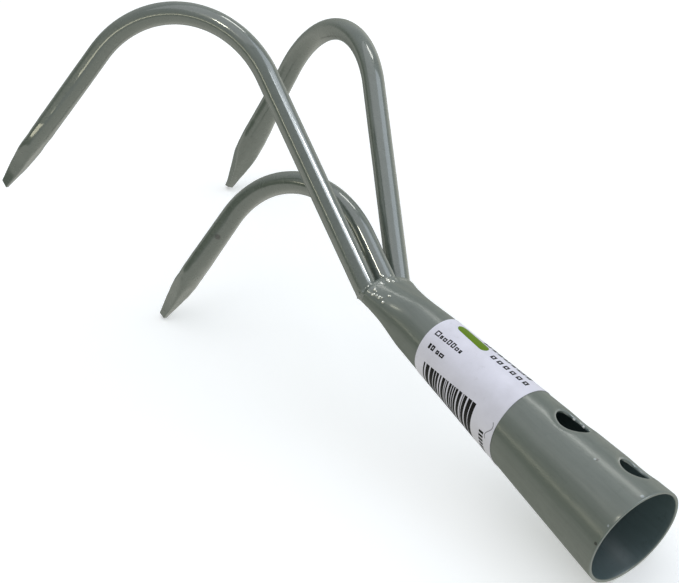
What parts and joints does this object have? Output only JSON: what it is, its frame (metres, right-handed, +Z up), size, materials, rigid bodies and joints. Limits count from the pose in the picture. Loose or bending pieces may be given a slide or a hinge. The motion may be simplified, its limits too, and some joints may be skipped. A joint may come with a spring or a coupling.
{
  "type": "hand cultivator head",
  "caption": "Cultivator head: a tapered steel socket for a wooden handle, with fanned round-bar tines hooked down to forged points.",
  "frame": {"origin": "centre of the bottom of the bounding box, on the floor the tool lies on", "axes": "+Z is up. The socket points along +Y from its mouth to the tines, rising 11 degrees. The tool lies as it comes to rest, on the socket's rim, the middle point and the right point, so its mirror plane leans 33 degrees."},
  "size_m": [0.1698, 0.3352, 0.1563],
  "materials": {
    "socket_paint": "gloss",
    "tine_paint": "gloss",
    "weld_paint": "gloss",
    "label_paper": "satin"
  },
  "bodies": {
    "root": {"socket": "socket_paint", "tine_left": "tine_paint", "tine_middle": "tine_paint", "tine_right": "tine_paint", "weld_over_left": "weld_paint", "weld_over_middle": "weld_paint", "weld_over_right": "weld_paint", "weld_under_left": "weld_paint", "weld_under_middle": "weld_paint", "weld_under_right": "weld_paint", "label": "label_paper"}
  },
  "joints": []
}
